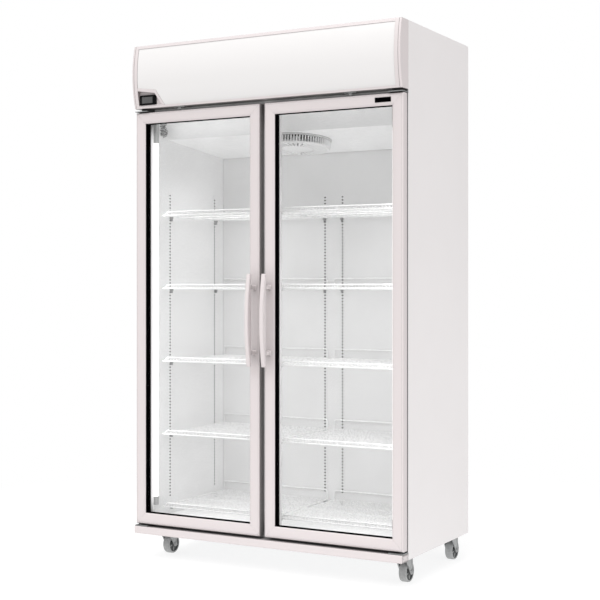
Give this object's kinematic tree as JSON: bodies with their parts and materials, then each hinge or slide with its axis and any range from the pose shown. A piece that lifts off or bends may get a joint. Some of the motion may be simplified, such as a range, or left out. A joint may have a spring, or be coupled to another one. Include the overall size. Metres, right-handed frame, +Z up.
{
  "type": "glass door merchandiser",
  "caption": "Upright refrigerated display cabinet on casters, with hinged glass doors, bow handles, wire shelves and a curved lit canopy over the doors.",
  "frame": {"origin": "on the floor, under the middle of the bounding box, which runs from the front of the handles to the back of the rear caster wheels", "axes": "+X to the right seen from the front, +Y from the doors towards the back, +Z up"},
  "size_m": [1.144, 0.6875, 2],
  "materials": {
    "powder_coat_side": "satin",
    "powder_coat_front": "satin",
    "door_frame": "satin",
    "canopy_plastic": "satin",
    "sign_acrylic": "gloss",
    "liner": "satin",
    "insert_plastic": "satin",
    "coated_wire": "gloss",
    "glass": "gloss",
    "black_seal": "satin",
    "seal_rubber": "matte",
    "lamp_cover": "gloss",
    "grey_plastic": "satin",
    "dark_plastic": "satin",
    "galvanised_steel": "satin",
    "fin_aluminium": "satin",
    "copper_tube": "satin",
    "black_paint": "satin",
    "foam": "matte",
    "caster_steel": "satin",
    "caster_tread": "matte"
  },
  "bodies": {
    "cabinet": {"side_panels": "powder_coat_side", "back_panel": "powder_coat_side", "base_pan": "galvanised_steel", "top_cover": "powder_coat_side", "machine_deck": "galvanised_steel", "foam_insulation": "foam", "inner_liner": "liner", "front_frame": "insert_plastic", "centre_mullion": "insert_plastic", "sill_rail": "powder_coat_front", "shelf_pilasters": "liner", "shelf_clips": "galvanised_steel", "shelves_left": "coated_wire", "shelves_right": "coated_wire", "duct_cover": "liner", "evaporator_coil": "fin_aluminium", "fan_guard": "insert_plastic", "fan_motors": "black_paint", "interior_lamps": "lamp_cover", "lamp_holders": "grey_plastic", "compressor": "black_paint", "condenser_coil": "fin_aluminium", "condenser_shroud": "galvanised_steel", "refrigerant_pipes": "copper_tube", "electrical_box": "grey_plastic", "power_cord": "dark_plastic", "canopy_frame": "canopy_plastic", "canopy_end_caps": "canopy_plastic", "sign_panel": "sign_acrylic", "canopy_lamp": "lamp_cover", "controller_bezel": "canopy_plastic", "controller_display": "dark_plastic", "hinge_plates": "caster_steel", "door_switches": "grey_plastic", "cabinet_screws": "galvanised_steel", "caster_plates": "caster_steel"},
    "door_left": {"door_left_frame": "door_frame", "door_left_glass": "glass", "door_left_spacer": "black_seal", "door_left_gasket": "seal_rubber", "door_left_handle": "door_frame"},
    "door_right": {"door_right_frame": "door_frame", "door_right_glass": "glass", "door_right_spacer": "black_seal", "door_right_gasket": "seal_rubber", "door_right_handle": "door_frame", "door_badge": "black_seal"},
    "evaporator_fan": {"evaporator_fan": "dark_plastic"},
    "condenser_fan": {"condenser_fan": "dark_plastic"},
    "key_set": {"key_set": "dark_plastic"},
    "key_up": {"key_up": "dark_plastic"},
    "key_down": {"key_down": "dark_plastic"},
    "fork_front_left": {"fork_front_left": "caster_steel"},
    "wheel_front_left": {"wheel_front_left": "caster_tread"},
    "fork_front_right": {"fork_front_right": "caster_steel"},
    "wheel_front_right": {"wheel_front_right": "caster_tread"},
    "fork_rear_left": {"fork_rear_left": "caster_steel"},
    "wheel_rear_left": {"wheel_rear_left": "caster_tread"},
    "fork_rear_right": {"fork_rear_right": "caster_steel"},
    "wheel_rear_right": {"wheel_rear_right": "caster_tread"}
  },
  "joints": [
    {"name": "door_left_hinge", "type": "hinge", "parent": "cabinet", "child": "door_left", "pos_m": [-0.56, -0.26575, 0.141], "axis": [0, 0, -1], "range_deg": [0, 110]},
    {"name": "door_right_hinge", "type": "hinge", "parent": "cabinet", "child": "door_right", "pos_m": [0.56, -0.26575, 0.141], "axis": [0, 0, 1], "range_deg": [0, 110]},
    {"name": "evaporator_fan_spin", "type": "hinge", "parent": "cabinet", "child": "evaporator_fan", "pos_m": [0, -0.00775, 1.63613], "axis": [0, 0.0942, 0.9955], "continuous": true},
    {"name": "condenser_fan_spin", "type": "hinge", "parent": "cabinet", "child": "condenser_fan", "pos_m": [0.19, -0.05975, 1.876], "axis": [0, 1, 0], "continuous": true},
    {"name": "key_up_press", "type": "slide", "parent": "cabinet", "child": "key_up", "axis": [0, 1, 0], "range_m": [0, 0.0008], "stiffness_N_per_m": 300},
    {"name": "key_set_press", "type": "slide", "parent": "cabinet", "child": "key_set", "axis": [0, 1, 0], "range_m": [0, 0.0008], "stiffness_N_per_m": 300},
    {"name": "key_down_press", "type": "slide", "parent": "cabinet", "child": "key_down", "axis": [0, 1, 0], "range_m": [0, 0.0008], "stiffness_N_per_m": 300},
    {"name": "swivel_front_left", "type": "hinge", "parent": "cabinet", "child": "fork_front_left", "pos_m": [-0.514, -0.14775, 0.0935], "axis": [0, 0, 1], "continuous": true},
    {"name": "roll_front_left", "type": "hinge", "parent": "fork_front_left", "child": "wheel_front_left", "pos_m": [-0.514, -0.12575, 0.0375], "axis": [1, 0, 0], "continuous": true},
    {"name": "swivel_front_right", "type": "hinge", "parent": "cabinet", "child": "fork_front_right", "pos_m": [0.514, -0.14775, 0.0935], "axis": [0, 0, 1], "continuous": true},
    {"name": "roll_front_right", "type": "hinge", "parent": "fork_front_right", "child": "wheel_front_right", "pos_m": [0.514, -0.12575, 0.0375], "axis": [1, 0, 0], "continuous": true},
    {"name": "swivel_rear_left", "type": "hinge", "parent": "cabinet", "child": "fork_rear_left", "pos_m": [-0.514, 0.28425, 0.0935], "axis": [0, 0, 1], "continuous": true},
    {"name": "roll_rear_left", "type": "hinge", "parent": "fork_rear_left", "child": "wheel_rear_left", "pos_m": [-0.514, 0.30625, 0.0375], "axis": [1, 0, 0], "continuous": true},
    {"name": "swivel_rear_right", "type": "hinge", "parent": "cabinet", "child": "fork_rear_right", "pos_m": [0.514, 0.28425, 0.0935], "axis": [0, 0, 1], "continuous": true},
    {"name": "roll_rear_right", "type": "hinge", "parent": "fork_rear_right", "child": "wheel_rear_right", "pos_m": [0.514, 0.30625, 0.0375], "axis": [1, 0, 0], "continuous": true}
  ]
}
